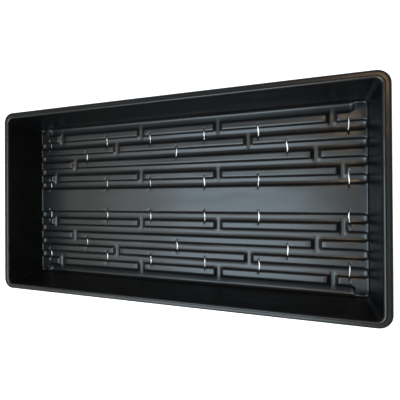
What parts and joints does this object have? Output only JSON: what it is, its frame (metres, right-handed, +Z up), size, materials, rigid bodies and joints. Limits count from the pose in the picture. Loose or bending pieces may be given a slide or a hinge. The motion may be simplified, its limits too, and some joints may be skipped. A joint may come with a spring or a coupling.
{
  "type": "growing tray",
  "caption": "Shallow rectangular open growing tray with a rolled rim, drafted walls, and a floor pressed into long channels with cross links and drain slits.",
  "frame": {"origin": "on the resting plane, under the middle of the tray", "axes": "+X along the tray's length, +Y across it, +Z up out of the open top"},
  "size_m": [0.546, 0.2796, 0.0665],
  "materials": {
    "black_plastic": "satin-gloss black thermoformed sheet"
  },
  "bodies": {
    "root": {"growing_tray": "black_plastic"}
  },
  "joints": []
}
